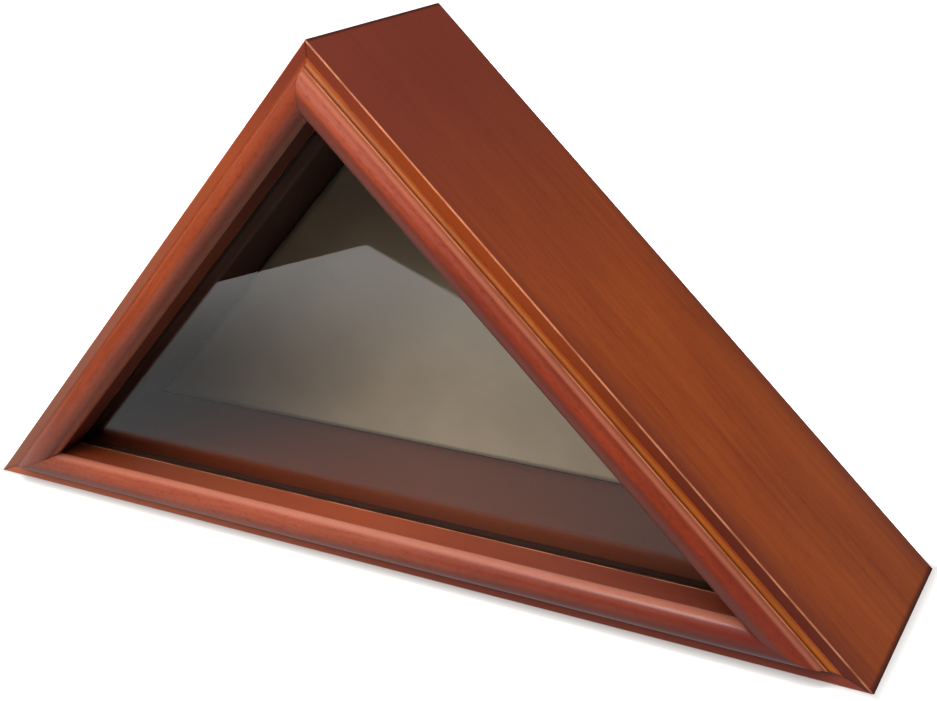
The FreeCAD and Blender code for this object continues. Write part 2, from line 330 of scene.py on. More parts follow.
# %% Lamps
def soft_box(name, place, target, width, power, colour, mirrored=True):
    data = bpy.data.lights.new(name, "AREA")
    data.shape = "SQUARE"
    data.size = width
    data.energy = power
    data.color = colour
    lamp = add_object(name, data)
    place = Vector(place)
    lamp.location = place
    lamp.rotation_euler = (Vector(target) - place).to_track_quat("-Z", "Y").to_euler()
    lamp.visible_glossy = mirrored
    print(name, "at", tuple(place), "power", power)


soft_box("overhead_box", (-0.05, -0.24, 1.10), (0.02, -0.02, 0.05), 0.50, 10.5, (1.0, 0.98, 0.96))
soft_box("front_box", (-0.45, -0.76, 0.66), (0.0, 0.0, 0.07), 0.50, 9.5, (1.0, 0.97, 0.93),
         mirrored=False)
soft_box("fill_box", (0.28, -0.68, 0.78), (0.0, 0.0, 0.07), 0.45, 5.0, (1.0, 0.97, 0.94),
         mirrored=False)
soft_box("back_box", (-0.65, 0.85, 0.45), (0.0, 0.04, 0.08), 0.50, 7.0, (1.0, 0.98, 0.96))

# %% [markdown]
# ## Where a point lies on its board
# Wood grain has to follow each board, and the three sides of the case run in three directions.
# Turning the Object coordinates with a Mapping node gives every side its own axes: along the board,
# through the case's depth, and inwards from the outer face. The same group measures how far a point
# is from the nearest mitre, because stain and dirt gather in that joint, and painted shade darkens the
# corners of the inner wall and the ends of the boards.
# Each side has its own colours in the photograph. Some are stain and wear, and some are painted light
# and shade: stain, ends and deepening are for its moulding, lip and inside for its board. Deepening is
# partly painted shade where light falls off along the bottom, and inside is partly painted shade on the
# left and right. Four numbers say how strong a mark is: the painted highlight on the flank, the painted
# shade on the inner half with the painted highlight at the foot of the moulding, the gilt cove, and the
# wear on sharp edges, which is also a painted highlight.

# %% Group for a board's own axes
place_on_side, given, out = new_group(
    "place_on_side",
    {"Turn": VECTOR, "Shift": VECTOR, "Length": FLOAT, "Start Mitre": FLOAT, "End Mitre": FLOAT},
    {"Place": VECTOR, "Along": FLOAT, "Depth": FLOAT, "Inward": FLOAT, "Mitre Gap": FLOAT})
tree = place_on_side
turned = add_node(tree, "ShaderNodeMapping", {
    "Vector": object_place(tree), "Rotation": given["Turn"], "Location": given["Shift"]}).outputs[0]
parts = split_axes(tree, turned)


def gap_to_mitre(along, angle):
    rise = calculate(tree, "MULTIPLY", along, calculate(tree, "SINE", angle))
    drop = calculate(tree, "MULTIPLY", parts["Z"], calculate(tree, "COSINE", angle))
    return calculate(tree, "SUBTRACT", rise, drop)


start_gap = gap_to_mitre(parts["X"], given["Start Mitre"])
from_end = calculate(tree, "SUBTRACT", given["Length"], parts["X"])
end_gap = gap_to_mitre(from_end, given["End Mitre"])
for label, value in (("Place", turned), ("Along", parts["X"]), ("Depth", parts["Y"]),
                     ("Inward", parts["Z"]),
                     ("Mitre Gap", calculate(tree, "MINIMUM", start_gap, end_gap))):
    feed(tree, out[label], value)


class Side:
    """A side of the triangle: its turn seen from the front, start corner, length, mitres and stain."""

    def __init__(self, name, turn, start, length, start_mitre, end_mitre, seed,
                 stain, ends, lip, inside, deepening, rubbed, shaded, gilt, wear_and_glint):
        self.name, self.seed = name, seed
        self.stain, self.ends, self.lip, self.inside = stain, ends, lip, inside
        self.deepening, self.rubbed, self.shaded = deepening, rubbed, shaded
        self.gilt, self.wear_and_glint = gilt, wear_and_glint
        self.turn = math.radians(turn)
        self.start, self.length = start, length
        self.mitres = math.radians(start_mitre), math.radians(end_mitre)

    def axes(self, tree):
        c, s = math.cos(self.turn), math.sin(self.turn)
        x, z = self.start
        return place_group(tree, place_on_side, {
            "Turn": (0.0, self.turn, 0.0), "Shift": (-x * c - z * s, 0.0, x * s - z * c),
            "Length": self.length, "Start Mitre": self.mitres[0], "End Mitre": self.mitres[1]})

    def point(self, along, inward, depth):
        c, s = math.cos(self.turn), math.sin(self.turn)
        x, z = self.start
        return Vector((x + along * c - inward * s, depth, z + along * s + inward * c))


HALF_WIDTH = 203.0 * MM
LEG = HALF_WIDTH * math.sqrt(2.0)
SIDES = [
    Side("bottom", 0.0, (-HALF_WIDTH, 0.0), 2 * HALF_WIDTH, 22.5, 22.5, 1.3,
         stain=(tint(160, 84, 58), tint(118, 51, 37)), ends=(tint(110, 63, 52), tint(112, 44, 34)),
         lip=(tint(166, 88, 62), tint(122, 54, 42)), inside=tint(86, 35, 23),
         deepening=0.75, rubbed=0.38, shaded=0.0, gilt=0.2, wear_and_glint=0.4),
    Side("right", 135.0, (HALF_WIDTH, 0.0), LEG, 22.5, 45.0, 4.1,
         stain=(tint(150, 59, 32), tint(98, 33, 19)), ends=(tint(112, 45, 33), tint(150, 70, 46)),
         lip=(tint(80, 27, 19), tint(132, 57, 24)), inside=tint(50, 20, 14),
         deepening=0.0, rubbed=0.0, shaded=0.7, gilt=0.9, wear_and_glint=0.5),
    Side("left", 225.0, (0.0, HALF_WIDTH), LEG, 45.0, 22.5, 7.7,
         stain=(tint(148, 68, 38), tint(110, 43, 25)), ends=(tint(126, 56, 36), tint(112, 65, 54)),
         lip=(tint(146, 70, 42), tint(128, 80, 64)), inside=tint(40, 16, 11),
         deepening=0.0, rubbed=0.65, shaded=0.0, gilt=0.1, wear_and_glint=0.3),
]
print("sides:", [(side.name, round(side.length, 4)) for side in SIDES])

# %% [markdown]
# ## Stained wood
# The boards are a close-grained hardwood under a red-brown stain and a satin lacquer. From near by it
# shows slow cloudy blotches, faint growth lines along the board, fine fibres and short dark pores.
# Each of those is a noise with its own number of waves along and across the grain. One group holds
# them all, so boards, mouldings and stops share one kind of timber with different stains. A seed for
# each side and each kind of piece moves the noises, so that no two pieces have the same grain.

# %% Group for stained wood
stained_wood, given, out = new_group(
    "stained_wood",
    {"Place": VECTOR, "Seed": FLOAT, "Light": COLOUR, "Dark": COLOUR, "Streaks": FLOAT,
     "Blotches": FLOAT},
    {"Colour": COLOUR, "Roughness": FLOAT, "Height": FLOAT})
tree = stained_wood
GRAIN_WANDER, PORE_STAIN = 9.0 * MM, tint(38, 12, 8)
BEAD_GRAIN, COVE_GRAIN, STOP_GRAIN, TONGUE_GRAIN = 20.0, 31.0, 47.0, 60.0
shift = add_node(tree, "ShaderNodeCombineXYZ", {0: given["Seed"], 1: given["Seed"], 2: given["Seed"]})
moved = add_node(tree, "ShaderNodeVectorMath", {0: given["Place"], 1: shift.outputs[0]},
                 operation="ADD").outputs[0]
wander = stretched_noise(tree, moved, (11.0, 20.0, 20.0), detail=1.0)
wander = calculate(tree, "MULTIPLY", calculate(tree, "SUBTRACT", wander, 0.5), GRAIN_WANDER)
drift = add_node(tree, "ShaderNodeCombineXYZ", {0: 0.0, 1: wander, 2: wander})
grain = add_node(tree, "ShaderNodeVectorMath", {0: moved, 1: drift.outputs[0]},
                 operation="ADD").outputs[0]

blotch = stretched_noise(tree, moved, (16.0, 42.0, 42.0), detail=2.5)
figure = stretched_noise(tree, grain, (7.0, 420.0, 420.0), detail=2.0)
fibre = stretched_noise(tree, grain, (70.0, 2300.0, 2300.0), detail=2.0)
pore = stretched_noise(tree, grain, (310.0, 4300.0, 4300.0), detail=0.0)
pore = fade(tree, pore, 0.66, 0.78)

cloud = calculate(tree, "MULTIPLY", calculate(tree, "SUBTRACT", blotch, 0.5), given["Blotches"])
lines = calculate(tree, "SUBTRACT", figure, 0.5)
hairs = calculate(tree, "MULTIPLY", calculate(tree, "SUBTRACT", fibre, 0.5), 0.8)
lines = calculate(tree, "MULTIPLY", calculate(tree, "ADD", lines, hairs), given["Streaks"])
depth = calculate(tree, "ADD", calculate(tree, "ADD", cloud, lines), 0.5)
depth = add_node(tree, "ShaderNodeClamp", {0: depth}).outputs[0]
colour = mix_colours(tree, depth, given["Light"], given["Dark"])
pore_shade = calculate(tree, "MULTIPLY", pore, calculate(tree, "MULTIPLY", given["Streaks"], 0.35))
colour = mix_colours(tree, pore_shade, colour, PORE_STAIN)
feed(tree, out["Colour"], colour)
satin = fade(tree, blotch, 0.3, 0.7, 0.36, 0.44)
feed(tree, out["Roughness"], calculate(tree, "ADD", satin, calculate(tree, "MULTIPLY", pore, 0.12)))
height = calculate(tree, "SUBTRACT", calculate(tree, "MULTIPLY", fibre, 0.35), pore)
feed(tree, out["Height"], height)
print("stained_wood group has", len(tree.nodes), "nodes")

# %% [markdown]
# ## Worn edges and painted highlights
# Sanding rubs through the stain on sharp edges, and the lacquer is thin there, so they show as fine pale
# lines. The same lines are painted highlights too, standing in for the bright glint along the rounded
# arrises. A line is a place in a board's cross-section, so the group takes the distance to that place
# and breaks the line up with a noise. Boards and mouldings both use it.

# %% Group for worn edges and painted highlights
worn_edge, given, out = new_group(
    "worn_edge",
    {"Place": VECTOR, "Inward": FLOAT, "Depth": FLOAT, "Edge Inward": FLOAT, "Edge Depth": FLOAT,
     "Width": FLOAT},
    {"Mask": FLOAT})
tree = worn_edge
BARE_WOOD_GLINT = tint(232, 156, 112)
across = calculate(tree, "SUBTRACT", given["Inward"], given["Edge Inward"])
behind = calculate(tree, "SUBTRACT", given["Depth"], given["Edge Depth"])
off = add_node(tree, "ShaderNodeCombineXYZ", {0: across, 1: behind})
reach = length_of(tree, off.outputs[0])
line = fade(tree, calculate(tree, "DIVIDE", reach, given["Width"]), 0.4, 1.0, 1.0, 0.0)
patches = stretched_noise(tree, given["Place"], (70.0, 70.0, 70.0), detail=3.0)
breaks = fade(tree, patches, 0.35, 0.6, 0.4, 1.0)
feed(tree, out["Mask"], calculate(tree, "MULTIPLY", line, breaks))


# a pale worn line that also serves as a painted highlight along the arris
def wear_and_glint(tree, axes, colour, inward, depth, width, amount):
    line = place_group(tree, worn_edge, {
        "Place": axes["Place"], "Inward": axes["Inward"], "Depth": axes["Depth"],
        "Edge Inward": inward, "Edge Depth": depth, "Width": width})["Mask"]
    return mix_colours(tree, calculate(tree, "MULTIPLY", line, amount), colour, BARE_WOOD_GLINT)


# %% [markdown]
# ## The boards
# The three boards carry most of the colour: a smooth orange-brown that turns to a deeper purple-red
# towards the apex and along the front and back edges. The back edge and the ends have a thin dark rim of
# painted shade, where the rounded edges turn away from the light. The inner faces are darker, partly
# stain and partly painted shade, most of all just behind the pane, and the front edge that shows beside
# the moulding has its own stain, with a worn pale arris that is also a painted highlight. All of these
# run along or across a board, so masks on the board's own axes paint them. A thin dark line marks each
# mitre.

# %% Board finish
BOX_DEPTH = 86.5 * MM
BOX_FRONT, BOX_BACK = -BOX_DEPTH / 2, BOX_DEPTH / 2
BOARD_THICK = 11.0 * MM
DEEP_EDGE_WIDTH = 14 * MM
LACQUER = {"Coat_Weight": 0.12, "Coat_Roughness": 0.3, "Specular_IOR_Level": 0.25}
DEEP_TONE, APEX_LIP_TONE = tint(104, 45, 37), tint(100, 42, 36)
JOINT_DIRT, RIM_SHADE, SHADE_BEHIND_PANE = tint(46, 14, 10), tint(52, 20, 18), tint(30, 12, 9)


def mitre_line(tree, axes, colour, amount):
    line = fade(tree, axes["Mitre Gap"], 0.1 * MM, 0.4 * MM, amount, 0.0)
    return mix_colours(tree, line, colour, JOINT_DIRT)


def outer_face(tree, axes, height, colour):
    """Deeper purple-red near the long edges and the apex, and a dark rim of painted shade on the back
    edge and the ends.
    """
    outer = fade(tree, axes["Inward"], 0.5 * MM, 1.0 * MM, 1.0, 0.0)
    from_middle = calculate(tree, "ABSOLUTE", axes["Depth"])
    edge = fade(tree, from_middle, BOX_BACK - DEEP_EDGE_WIDTH, BOX_BACK, 0.0, 0.6)
    top = fade(tree, height, 80 * MM, 190 * MM, 0.0, 0.85)
    deep = calculate(tree, "MULTIPLY", calculate(tree, "MAXIMUM", edge, top), outer)
    colour = mix_colours(tree, deep, colour, DEEP_TONE)
    # painted shade: a thin dark rim where the rounded back edge and ends turn away from the light
    back = fade(tree, axes["Depth"], BOX_BACK - 1.3 * MM, BOX_BACK - 0.5 * MM, 0.0, 0.75)
    end = fade(tree, axes["Mitre Gap"], 0.3 * MM, 1.1 * MM, 0.75, 0.0)
    rim = calculate(tree, "MULTIPLY", calculate(tree, "MAXIMUM", back, end), outer)
    return mix_colours(tree, rim, colour, RIM_SHADE)


def inner_face(side, tree, axes, colour):
    """The inner faces darker, partly stain and partly painted shade, and painted shade that is strongest
    just behind the pane.
    """
    # partly stain, partly painted shade: the left and right inner faces are darker, as they lie in shade
    inside = fade(tree, axes["Inward"], BOARD_THICK - 0.6 * MM, BOARD_THICK - 0.2 * MM, 0.0, 0.85)
    colour = mix_colours(tree, inside, colour, side.inside)
    # painted shade just behind the pane, where the stop and moulding shade the inner faces
    behind_pane = fade(tree, axes["Depth"], -26 * MM, -4 * MM, 0.9, 0.0)
    return mix_colours(tree, calculate(tree, "MULTIPLY", inside, behind_pane), colour, SHADE_BEHIND_PANE)


def front_edge_stain(side, tree, axes, height, colour):
    """The front edge changes colour along the side, darkens near the apex and is worn pale outside, also
    a painted highlight.
    """
    front = fade(tree, axes["Depth"], BOX_FRONT + 0.1 * MM, BOX_FRONT + 0.5 * MM, 0.9, 0.0)
    along = fade(tree, axes["Along"], 0.2 * side.length, 0.7 * side.length)
    lip = mix_colours(tree, along, *side.lip)
    lip = mix_colours(tree, fade(tree, height, 155 * MM, 195 * MM, 0.0, 0.8), lip, APEX_LIP_TONE)
    colour = mix_colours(tree, front, colour, lip)
    return wear_and_glint(tree, axes, colour, 0.15 * MM, BOX_FRONT + 0.15 * MM, 0.5 * MM, side.wear_and_glint)


def board_wood(side):
    material, tree, shader = new_material(f"board_wood_{side.name}", **LACQUER)
    axes = side.axes(tree)
    wood = place_group(tree, stained_wood, {
        "Place": axes["Place"], "Seed": side.seed, "Light": tint(170, 84, 37),
        "Dark": tint(126, 54, 28), "Streaks": 0.85, "Blotches": 0.75})
    height = split_axes(tree, object_place(tree))["Z"]
    colour = outer_face(tree, axes, height, wood["Colour"])
    colour = inner_face(side, tree, axes, colour)
    colour = front_edge_stain(side, tree, axes, height, colour)
    feed(tree, shader.inputs["Base Color"], mitre_line(tree, axes, colour, 0.6))
    feed(tree, shader.inputs["Roughness"], wood["Roughness"])
    bump(tree, shader, wood["Height"], 0.02 * MM, 0.6)
    return material


for side in SIDES:
    finish_with(board_wood(side), f"{side.name}_board")

# %% [markdown]
# ## The front moulding
# The bead is redder than the boards and finely speckled, and its stain changes towards the ends of each
# side. Along the bottom it grows darker towards the right, partly stain and partly painted shade where
# the light falls off. Its inner flank carries a painted highlight at the bottom and left. At the right
# its inner half carries painted shade, and a painted highlight lies along its foot. The cove outside it
# shows streaky gold, most of all at the right, as wood does where stain is wiped off. The quirks beside
# the bead hold dark glaze, deepened by painted shade, and the inner wall is orange-brown, with painted
# shade in the corners. All are bands along or across the moulding, so masks on its axes paint them. Two
# sharp edges are worn to fine pale lines, which are also painted highlights.

# %% Moulding finish
LIP_WIDTH, COVE_END, BEAD_START = 4.1 * MM, 6.2 * MM, 6.8 * MM
BEAD_WALL, LEG_BACK, FILLET_FACE = 17.76 * MM, -32.65 * MM, -45.65 * MM
FLANK_TOP, FLANK_FOOT = -49.6 * MM, -47.4 * MM
END_REACH = 95 * MM
QUIRKS = ((COVE_END - 0.15 * MM, 0.2 * MM, 0.6), (BEAD_START, 0.15 * MM, 0.25))
GLOSS = {"Coat_Roughness": 0.3, "Specular_IOR_Level": 0.35}
BEAD_COAT = 0.3
SPECKS, GLAZE_AND_SHADE, DEEPER_STAIN_AND_SHADE = tint(88, 26, 18), tint(60, 18, 12), tint(88, 24, 18)
WALL_STAIN, WALL_CORNER_SHADE = tint(130, 52, 13), tint(60, 20, 10)
FLANK_HIGHLIGHT_TINT, HALF_SHADE_TINT, FOOT_HIGHLIGHT_TINT = tint(202, 130, 106), tint(92, 48, 42), tint(204, 130, 104)


def band(tree, value, middle, half_width):
    """1 at the middle of a narrow band, fading to 0 at its sides."""
    off = calculate(tree, "ABSOLUTE", calculate(tree, "SUBTRACT", value, middle))
    return fade(tree, off, half_width * 0.4, half_width, 1.0, 0.0)


def tinted_ends(side, tree, axes, colour):
    """Stain that changes towards the two ends of the side, and fine dark specks."""
    to_end = calculate(tree, "SUBTRACT", side.length, axes["Along"])
    for place, end in zip((axes["Along"], to_end), side.ends):
        colour = mix_colours(tree, fade(tree, place, 0.0, END_REACH, 0.9, 0.0), colour, end)
    speckle = stretched_noise(tree, axes["Place"], (420.0, 900.0, 900.0), detail=3.0)
    return mix_colours(tree, fade(tree, speckle, 0.5, 0.72, 0.0, 0.4), colour, SPECKS)


def inner_wall(side, tree, axes, inner, colour):
    """The wall down to the pane with painted shade in its corners, and a colour that deepens along the
    side, partly stain and partly painted shade.
    """
    # painted shade: the inner wall darkens towards the mitres, where the other mouldings shade it
    corner = fade(tree, axes["Mitre Gap"], 10 * MM, 75 * MM, 0.6, 0.0)
    colour = mix_colours(tree, inner, colour, mix_colours(tree, corner, WALL_STAIN, WALL_CORNER_SHADE))
    # partly stain, partly painted shade: along the bottom the colour deepens to the right, where the
    # lamp's light falls off
    deeper = fade(tree, axes["Along"], 0.25 * side.length, 0.8 * side.length, 0.0, side.deepening)
    deeper = calculate(tree, "MULTIPLY", deeper, calculate(tree, "MULTIPLY_ADD", inner, -0.5, 1.0))
    return mix_colours(tree, deeper, colour, DEEPER_STAIN_AND_SHADE)


def bead_bands(side, tree, axes, inner, colour):
    """The painted highlight on the inner flank, the painted shade on the inner half and the painted
    highlight along the foot of the bead.
    """
    # painted highlight on the bead's inner flank, at the bottom and left
    rubbed = fade(tree, axes["Depth"], FLANK_TOP, FLANK_FOOT, 0.0, side.rubbed)
    rubbed = calculate(tree, "MULTIPLY", rubbed, fade(tree, axes["Inward"], 12.0 * MM, 14.0 * MM))
    rubbed = calculate(tree, "MULTIPLY", rubbed, calculate(tree, "SUBTRACT", 1.0, inner))
    colour = mix_colours(tree, rubbed, colour, FLANK_HIGHLIGHT_TINT)
    # painted shade on the inner half of the bead, at the right
    dull_and_shade = fade(tree, axes["Inward"], 10.4 * MM, 11.8 * MM, 0.0, side.shaded)
    colour = mix_colours(tree, dull_and_shade, colour, HALF_SHADE_TINT)
    # painted highlight along the foot of the bead beside the fillet, at the right
    on_bead = fade(tree, axes["Inward"], BEAD_START - 0.2 * MM, BEAD_START)
    foot = fade(tree, axes["Inward"], 7.0 * MM, 7.8 * MM, 0.6 * side.shaded, 0.0)
    return mix_colours(tree, calculate(tree, "MULTIPLY", on_bead, foot), colour, FOOT_HIGHLIGHT_TINT)


def gilt_cove(side, tree, axes, colour):
    """Streaky gold in the cove, and dark glazing with painted shade in the quirks on both sides of the
    fillet.
    """
    gold = place_group(tree, stained_wood, {
        "Place": axes["Place"], "Seed": side.seed + COVE_GRAIN, "Light": tint(172, 94, 28),
        "Dark": tint(100, 40, 12), "Streaks": 0.9, "Blotches": 0.7})
    cove = fade(tree, axes["Inward"], COVE_END - 0.1 * MM, COVE_END + 0.1 * MM, side.gilt, 0.0)
    rise = fade(tree, axes["Inward"], LIP_WIDTH, LIP_WIDTH + 1.3 * MM, 0.3, 1.0)
    colour = mix_colours(tree, calculate(tree, "MULTIPLY", cove, rise), colour, gold["Colour"])
    # dark glazing in the quirks, deepened as painted shade in the creases
    for middle, half_width, amount in QUIRKS:
        glaze_and_shade = calculate(tree, "MULTIPLY", band(tree, axes["Inward"], middle, half_width), amount)
        colour = mix_colours(tree, glaze_and_shade, colour, GLAZE_AND_SHADE)
    return colour


def moulding_wood(side):
    material, tree, shader = new_material(f"moulding_wood_{side.name}", **GLOSS)
    axes = side.axes(tree)
    light, dark = side.stain
    red = place_group(tree, stained_wood, {
        "Place": axes["Place"], "Seed": side.seed + BEAD_GRAIN, "Light": light, "Dark": dark,
        "Streaks": 0.8, "Blotches": 1.1})
    inner = fade(tree, axes["Depth"], BOX_FRONT - 1.6 * MM, BOX_FRONT - 0.6 * MM, 0.0, 0.95)
    inner = calculate(tree, "MULTIPLY", inner, fade(tree, axes["Inward"], 16.5 * MM, 17.5 * MM))
    colour = tinted_ends(side, tree, axes, red["Colour"])
    colour = inner_wall(side, tree, axes, inner, colour)
    colour = bead_bands(side, tree, axes, inner, colour)
    colour = gilt_cove(side, tree, axes, colour)
    # worn pale lines on the fillet and the inner wall's back arris, also painted highlights
    colour = wear_and_glint(tree, axes, colour, COVE_END + 0.1 * MM, FILLET_FACE, 0.4 * MM, side.wear_and_glint)
    colour = wear_and_glint(tree, axes, colour, BEAD_WALL, LEG_BACK, 0.5 * MM, 0.7)
    feed(tree, shader.inputs["Base Color"], mitre_line(tree, axes, colour, 0.2))
    rough = calculate(tree, "MULTIPLY_ADD", inner, 0.35, red["Roughness"])
    feed(tree, shader.inputs["Roughness"], rough)
    coat = calculate(tree, "MULTIPLY_ADD", inner, -BEAD_COAT, BEAD_COAT)
    feed(tree, shader.inputs["Coat Weight"], coat)
    bump(tree, shader, red["Height"], 0.02 * MM, 0.5)
    return material


for side in SIDES:
    finish_with(moulding_wood(side), f"{side.name}_moulding")

# %% [markdown]
# ## Stops and tongues
# Behind the pane a thin dark strip on each side holds it in place. Its wood is coloured nearly black,
# so that it draws a dark line round the opening. The loose tongues inside the mitres are bare pale wood.
# They can't be seen: long mitres like these need some such key.

# %% Stop and tongue finish
def stop_wood(side):
    material, tree, shader = new_material(f"stop_wood_{side.name}", Specular_IOR_Level=0.25)
    axes = side.axes(tree)
    wood = place_group(tree, stained_wood, {
        "Place": axes["Place"], "Seed": side.seed + STOP_GRAIN, "Light": tint(20, 11, 9),
        "Dark": tint(9, 6, 5), "Streaks": 0.8, "Blotches": 0.6})
    feed(tree, shader.inputs["Base Color"], wood["Colour"])
    feed(tree, shader.inputs["Roughness"], calculate(tree, "ADD", wood["Roughness"], 0.25))
    bump(tree, shader, wood["Height"], 0.03 * MM)
    return material


for side in SIDES:
    finish_with(stop_wood(side), f"{side.name}_glass_stop")

tongue_wood, tree, shader = new_material("tongue_wood", Specular_IOR_Level=0.3)
wood = place_group(tree, stained_wood, {
    "Place": object_place(tree), "Seed": TONGUE_GRAIN, "Light": tint(214, 178, 128),
    "Dark": tint(172, 128, 82), "Streaks": 0.8, "Blotches": 0.5})
feed(tree, shader.inputs["Base Color"], wood["Colour"])
feed(tree, shader.inputs["Roughness"], calculate(tree, "ADD", wood["Roughness"], 0.3))
finish_with(tongue_wood, "right_corner_spline", "apex_corner_spline", "left_corner_spline")

# %% [markdown]
# ## The pane
# The pane is plain clear sheet glass, 2 mm thick. A Principled shader with full transmission mirrors
# and bends light as glass does. Lamps can't shine through such a surface in a path tracer without
# much noise, so rays that carry shadow or soft light pass straight through a Transparent shader.

# %% Glass finish
glass, tree, shader = new_material("pane_glass", Roughness=0.0, IOR=1.5, Transmission_Weight=1.0)
shader.inputs["Base Color"].default_value = (0.97, 0.985, 0.975, 1.0)
rays = tree.nodes.new("ShaderNodeLightPath").outputs
clear = add_node(tree, "ShaderNodeBsdfTransparent", {"Color": (0.9, 0.92, 0.91, 1.0)})
soft_ray = calculate(tree, "MAXIMUM", rays["Is Shadow Ray"], rays["Is Diffuse Ray"])
blend_surfaces(tree, soft_ray, shader.outputs["BSDF"], clear.outputs["BSDF"])
finish_with(glass, "glass_pane")

# %% [markdown]
# ## The back panel
# The photograph doesn't show the back, so its finish is a guess from how such cases are made. The panel
# is brown hardboard with its rough side out. The wire screen it was pressed on leaves a fine net of
# dents, and short fibres of several browns lie in all directions. Two sine waves make the net, and a
# noise breaks it up.

# %% Hardboard finish
NET_PITCH = 1.6 * MM
SMOOTH_TO, ROUGH_FROM = 39.7 * MM, 39.9 * MM


def ripple(tree, value, pitch):
    wave = calculate(tree, "SINE", calculate(tree, "MULTIPLY", value, 2 * math.pi / pitch))
    return calculate(tree, "MULTIPLY_ADD", wave, 0.5, 0.5)


hardboard, tree, shader = new_material("hardboard", Specular_IOR_Level=0.2)
where = object_place(tree)
axis = split_axes(tree, where)
net = calculate(tree, "MULTIPLY", ripple(tree, axis["X"], NET_PITCH), ripple(tree, axis["Z"], NET_PITCH))
fibres = stretched_noise(tree, where, (900.0, 900.0, 900.0), detail=4.0, distortion=1.5)
clouds = stretched_noise(tree, where, (22.0, 22.0, 22.0), detail=3.0)
tone = mix_values(tree, 0.3, fibres, clouds)
colour = mix_colours(tree, fade(tree, tone, 0.3, 0.7), tint(92, 60, 36), tint(146, 104, 66))
colour = mix_colours(tree, calculate(tree, "MULTIPLY", net, 0.3), colour, tint(70, 44, 26))
smooth_face = fade(tree, axis["Y"], SMOOTH_TO, ROUGH_FROM, 1.0, 0.0)
colour = mix_colours(tree, smooth_face, colour, tint(38, 27, 19))
feed(tree, shader.inputs["Base Color"], colour)
feed(tree, shader.inputs["Roughness"], fade(tree, fibres, 0.2, 0.8, 0.6, 0.85))
bump(tree, shader, calculate(tree, "SUBTRACT", fibres, net), 0.12 * MM)
finish_with(hardboard, "back_panel")

# %% [markdown]
# ## The lining
# A thin grey-beige cloth is glued over the panel's inner face. It is one flat sheet, so a subdivided
# triangle is enough, with slight puckers where the glue let go. The weave is too fine to model thread
# by thread: two sets of waves across each other raise it in the shader, at 0.7 mm to the thread.

# %% Lining sheet
cloth_low, cloth_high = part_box("backing_cloth")
CLOTH_FRONT, CLOTH_BACK = cloth_low[1], cloth_high[1]
CLOTH_ROWS = 70
THREAD = 0.7 * MM
CLOTH_LIFT, PUCKER_SHARE, PUCKERS_PER_METRE = 0.15 * MM, 0.3, 28.0


def lining_point(row, column):
    """A point of the triangle, from the base at row 0 to the apex at the last row."""
    up = row / CLOTH_ROWS
    left, right = cloth_low[0], cloth_high[0]
    across = 2 * column / max(1, CLOTH_ROWS - row) - 1
    x = (left + right) / 2 + (right - left) / 2 * (1 - up) * across
    z = cloth_low[2] + (cloth_high[2] - cloth_low[2]) * up
    return x, z


def make_lining():
    bm = bmesh.new()
    rows = []
    for row in range(CLOTH_ROWS + 1):
        line = []
        for column in range(CLOTH_ROWS - row + 1):
            x, z = lining_point(row, column)
            edge = row == 0 or column in (0, CLOTH_ROWS - row)
            spot = Vector((x * PUCKERS_PER_METRE, 3.0, z * PUCKERS_PER_METRE))
            pucker = 0.0 if edge else noise.noise(spot)
            lift = CLOTH_LIFT * (1.0 + PUCKER_SHARE * pucker)
            line.append(bm.verts.new((x, CLOTH_FRONT + lift, z)))
        rows.append(line)
    for lower, upper in zip(rows, rows[1:]):
        for column in range(len(upper)):
            bm.faces.new((lower[column], lower[column + 1], upper[column]))
            if column + 1 < len(upper):
                bm.faces.new((lower[column + 1], upper[column + 1], upper[column]))
    front = list(bm.faces)
    area = sum(face.calc_area() for face in front)
    made = bmesh.ops.extrude_face_region(bm, geom=front)
    for vert in (g for g in made["geom"] if isinstance(g, bmesh.types.BMVert)):
        vert.co.y = CLOTH_BACK
    bmesh.ops.recalc_face_normals(bm, faces=bm.faces)
    mesh = bpy.data.meshes.new("lining")
    bm.to_mesh(mesh)
    bm.free()
    mesh.shade_smooth()
    return add_object("lining", mesh), area


lining, lining_area = make_lining()
cloth, tree, shader = new_material("lining_cloth", Specular_IOR_Level=0.1)
where = object_place(tree)
axis = split_axes(tree, where)
warp, weft = ripple(tree, axis["X"], THREAD), ripple(tree, axis["Z"], THREAD)
over = ripple(tree, calculate(tree, "ADD", axis["X"], axis["Z"]), 2 * THREAD)
weave = mix_values(tree, over, warp, weft)
slub = stretched_noise(tree, where, (60.0, 60.0, 1400.0), detail=2.0)
mottle = stretched_noise(tree, where, (45.0, 45.0, 45.0), detail=4.0)
tone = mix_values(tree, 0.8, slub, mottle)
colour = mix_colours(tree, fade(tree, tone, 0.3, 0.7), tint(170, 153, 131), tint(179, 161, 139))
colour = mix_colours(tree, calculate(tree, "MULTIPLY", weave, 0.2), colour, tint(118, 102, 80))
feed(tree, shader.inputs["Base Color"], colour)
feed(tree, shader.inputs["Roughness"], fade(tree, mottle, 0.2, 0.8, 0.8, 0.95))
bump(tree, shader, weave, 0.03 * MM, 0.5)
lining.data.materials.append(cloth)
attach(lining, "back")
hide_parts("backing_cloth")
print("lining area", round(lining_area, 5), "m2")

# %% [markdown]
# ## Turn buttons
# The six buttons are a guess too, as small stamped brass arms. Handling leaves fine rubbed scratches,
# and the lacquer on the brass has dulled in patches. Both are noises on the roughness and colour of
# one metal.

